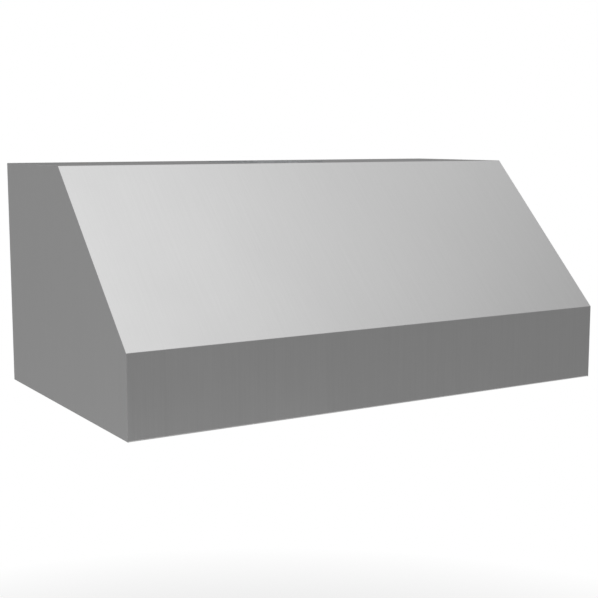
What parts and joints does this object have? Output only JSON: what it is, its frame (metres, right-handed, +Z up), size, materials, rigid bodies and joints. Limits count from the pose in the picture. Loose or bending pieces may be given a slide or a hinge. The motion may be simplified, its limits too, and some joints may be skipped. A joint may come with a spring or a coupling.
{
  "type": "range hood",
  "caption": "Wall-mounted canopy range hood with a sloped front, hinged baffle filters, twin blowers, a recessed duct socket, lamps and a grease cup.",
  "frame": {"origin": "middle of the four wall screws, on the back face", "axes": "+X along the width to the right as seen from the front, +Y into the wall, +Z up; the front faces -Y"},
  "size_m": [1.0668, 0.6096, 0.4572],
  "materials": {
    "canopy_steel": "vertical satin brushed stainless steel, ground at the corners",
    "underside_steel": "satin brushed stainless steel",
    "filter_steel": "fine brushed stainless steel",
    "wire_steel": "polished stainless wire",
    "zinc_sheet": "zinc coated sheet with a faint spangle",
    "wheel_zinc": "galvanised sheet",
    "motor_black": "black enamel",
    "shaft_steel": "turned steel",
    "capacitor_white": "moulded plastic",
    "damper_aluminium": "rolled aluminium sheet",
    "bezel_chrome": "satin chrome",
    "lens_frosted": "frosted glass",
    "lamp_aluminium": "cast aluminium",
    "board_white": "white solder mask",
    "spring_steel": "spring steel",
    "switch_black": "moulded black plastic",
    "knob_steel": "turned and brushed stainless steel",
    "dial_grey": "brushed aluminium with a printed scale",
    "driver_white": "moulded plastic",
    "gland_brass": "nickel-free brass",
    "magnet_black": "moulded magnet holder",
    "cup_steel": "pressed stainless steel",
    "screw_steel": "zinc plated steel",
    "lead_grey": "rubber sheathed lead"
  },
  "bodies": {
    "canopy": {"left_side_panel": "canopy_steel", "right_side_panel": "canopy_steel", "front_panel": "canopy_steel", "top_panel": "canopy_steel", "back_panel": "zinc_sheet", "light_panel": "underside_steel", "rear_pan": "underside_steel", "grease_gutter": "underside_steel", "cup_rails": "underside_steel", "left_end_rail": "underside_steel", "right_end_rail": "underside_steel", "filter_dividers": "underside_steel", "filter_magnets": "magnet_black", "left_scroll": "zinc_sheet", "right_scroll": "zinc_sheet", "left_inlet_plate": "zinc_sheet", "right_inlet_plate": "zinc_sheet", "left_motor_plate": "zinc_sheet", "right_motor_plate": "zinc_sheet", "left_motor": "motor_black", "right_motor": "motor_black", "capacitors": "capacitor_white", "plenum": "zinc_sheet", "duct_collar": "zinc_sheet", "damper_pin": "shaft_steel", "lamp_bezels": "bezel_chrome", "lamp_lenses": "lens_frosted", "lamp_housings": "lamp_aluminium", "led_boards": "board_white", "lamp_springs": "spring_steel", "fan_switch": "switch_black", "light_dimmer": "switch_black", "dial_rings": "dial_grey", "control_cover": "zinc_sheet", "led_driver": "driver_white", "junction_box": "zinc_sheet", "junction_cover": "zinc_sheet", "cable_gland": "gland_brass", "screws": "screw_steel", "internal_leads": "lead_grey"},
    "left_rotor": {"left_impeller": "wheel_zinc", "left_motor_shaft": "shaft_steel"},
    "right_rotor": {"right_impeller": "wheel_zinc", "right_motor_shaft": "shaft_steel"},
    "left_damper": {"left_flap": "damper_aluminium"},
    "right_damper": {"right_flap": "damper_aluminium"},
    "left_filter": {"left_filter_frame": "filter_steel", "left_filter_baffles": "filter_steel"},
    "left_handle": {"left_filter_handle": "wire_steel"},
    "middle_filter": {"middle_filter_frame": "filter_steel", "middle_filter_baffles": "filter_steel"},
    "middle_handle": {"middle_filter_handle": "wire_steel"},
    "right_filter": {"right_filter_frame": "filter_steel", "right_filter_baffles": "filter_steel"},
    "right_handle": {"right_filter_handle": "wire_steel"},
    "cup": {"grease_cup": "cup_steel"},
    "fan_control": {"fan_knob": "knob_steel", "fan_shaft": "shaft_steel"},
    "light_control": {"light_knob": "knob_steel", "dimmer_shaft": "shaft_steel"}
  },
  "joints": [
    {"name": "left_rotor_spin", "type": "hinge", "parent": "canopy", "child": "left_rotor", "pos_m": [-0.133, -0.165, -0.031], "axis": [1, 0, 0], "continuous": true},
    {"name": "right_rotor_spin", "type": "hinge", "parent": "canopy", "child": "right_rotor", "pos_m": [0.133, -0.165, -0.031], "axis": [1, 0, 0], "continuous": true},
    {"name": "left_flap_swing", "type": "hinge", "parent": "canopy", "child": "left_damper", "pos_m": [0, -0.147, 0.1532], "axis": [0, 1, 0], "range_deg": [0, 78]},
    {"name": "right_flap_swing", "type": "hinge", "parent": "canopy", "child": "right_damper", "pos_m": [0, -0.147, 0.1532], "axis": [0, -1, 0], "range_deg": [0, 78]},
    {"name": "left_filter_swing", "type": "hinge", "parent": "canopy", "child": "left_filter", "pos_m": [-0.338, -0.11, -0.197], "axis": [1, 0, 0], "range_deg": [0, 75]},
    {"name": "left_handle_swing", "type": "hinge", "parent": "left_filter", "child": "left_handle", "pos_m": [-0.338, -0.45918, -0.16895], "axis": [1, 0, 0], "range_deg": [-25, 80]},
    {"name": "middle_filter_swing", "type": "hinge", "parent": "canopy", "child": "middle_filter", "pos_m": [0, -0.11, -0.197], "axis": [1, 0, 0], "range_deg": [0, 75]},
    {"name": "middle_handle_swing", "type": "hinge", "parent": "middle_filter", "child": "middle_handle", "pos_m": [0, -0.45918, -0.16895], "axis": [1, 0, 0], "range_deg": [-25, 80]},
    {"name": "right_filter_swing", "type": "hinge", "parent": "canopy", "child": "right_filter", "pos_m": [0.338, -0.11, -0.197], "axis": [1, 0, 0], "range_deg": [0, 75]},
    {"name": "right_handle_swing", "type": "hinge", "parent": "right_filter", "child": "right_handle", "pos_m": [0.338, -0.45918, -0.16895], "axis": [1, 0, 0], "range_deg": [-25, 80]},
    {"name": "grease_cup_slide", "type": "slide", "parent": "canopy", "child": "cup", "axis": [-1, 0, 0], "range_m": [0, 0.095]},
    {"name": "fan_knob_turn", "type": "hinge", "parent": "canopy", "child": "fan_control", "pos_m": [-0.042, -0.5256, -0.1863], "axis": [0, 0, 1], "range_deg": [0, 270]},
    {"name": "light_knob_turn", "type": "hinge", "parent": "canopy", "child": "light_control", "pos_m": [0.042, -0.5256, -0.1863], "axis": [0, 0, 1], "range_deg": [0, 270]}
  ]
}
